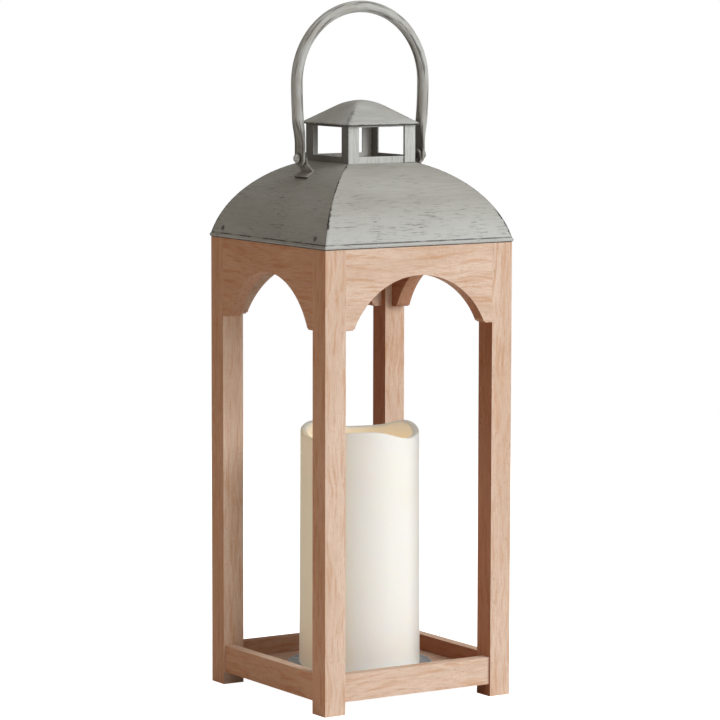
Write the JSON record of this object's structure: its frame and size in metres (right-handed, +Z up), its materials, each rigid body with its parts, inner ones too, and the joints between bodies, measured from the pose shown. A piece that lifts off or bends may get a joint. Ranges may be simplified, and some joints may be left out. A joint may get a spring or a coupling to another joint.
{
  "type": "hanging lantern",
  "caption": "Square wooden candle lantern with arched openings, a domed sheet-metal roof with a vented cupola, a swinging bail handle and a battery pillar candle.",
  "frame": {"origin": "centre of the square footprint, on the plane of the feet", "axes": "+Z up, -Y towards the front, +X to the right of someone facing the front"},
  "size_m": [0.1414, 0.1414, 0.4451],
  "materials": {
    "post_wood": "unfinished, fine vertical pores",
    "board_wood": "unfinished, flat-sawn grain",
    "inner_wood": "unfinished, in shade",
    "painted_sheet": "matte dry-brushed taupe grey with dark rubbed edges",
    "painted_handle": "matte taupe grey with brown-black rubbed patches",
    "plate_metal": "satin blue-grey",
    "rivet_steel": "painted over and rubbed bright on the dome",
    "steel": "plain zinc",
    "wax": "smooth ivory wax",
    "ivory_plastic": "moulded",
    "flame_plastic": "translucent amber",
    "led_lens": "clear amber",
    "board_green": "solder mask",
    "black_plastic": "moulded",
    "cell": "printed-free sleeve, satin"
  },
  "bodies": {
    "lantern": {"post_front_left": "post_wood", "post_front_right": "post_wood", "post_rear_left": "post_wood", "post_rear_right": "post_wood", "arch_front": "board_wood", "arch_rear": "board_wood", "arch_left": "board_wood", "arch_right": "board_wood", "rail_front": "board_wood", "rail_rear": "board_wood", "rail_left": "board_wood", "rail_right": "board_wood", "floor_board": "inner_wood", "arch_dowels": "inner_wood", "rail_dowels": "inner_wood", "candle_plate": "plate_metal", "plate_screw": "steel", "roof_cleat_left": "inner_wood", "roof_cleat_right": "inner_wood", "cleat_screws": "steel", "roof_panel_front": "painted_sheet", "roof_panel_rear": "painted_sheet", "roof_panel_left": "painted_sheet", "roof_panel_right": "painted_sheet", "rim_wire": "steel", "roof_screws": "steel", "cupola_half_front": "painted_sheet", "cupola_half_rear": "painted_sheet", "cupola_cap": "painted_sheet", "bracket_left": "painted_sheet", "bracket_right": "painted_sheet", "rivet_left": "rivet_steel", "rivet_right": "rivet_steel"},
    "handle": {"handle": "painted_handle"},
    "candle": {"candle_shell": "wax", "battery_housing": "ivory_plastic", "battery_left": "cell", "battery_right": "cell", "contact_springs": "steel", "circuit_board": "board_green", "board_screws": "steel", "led_stem": "ivory_plastic", "led": "led_lens", "flame_tip": "flame_plastic", "switch_body": "black_plastic"},
    "battery_cover": {"battery_cover": "ivory_plastic", "cover_contact": "steel"},
    "power_switch": {"power_switch": "black_plastic"}
  },
  "joints": [
    {"name": "handle_swing", "type": "hinge", "parent": "lantern", "child": "handle", "pos_m": [0, 0, 0.3457], "axis": [1, 0, 0], "range_deg": [-101, 101]},
    {"name": "candle_lift", "type": "slide", "parent": "lantern", "child": "candle", "axis": [0, -0.9135, 0.4067], "range_m": [0, 0.126]},
    {"name": "cover_turn", "type": "hinge", "parent": "candle", "child": "battery_cover", "pos_m": [0, 0, 0.0188], "axis": [0, 0, 1], "range_deg": [-40, 0]},
    {"name": "switch_slide", "type": "slide", "parent": "candle", "child": "power_switch", "axis": [1, 0, 0], "range_m": [0, 0.003]}
  ]
}
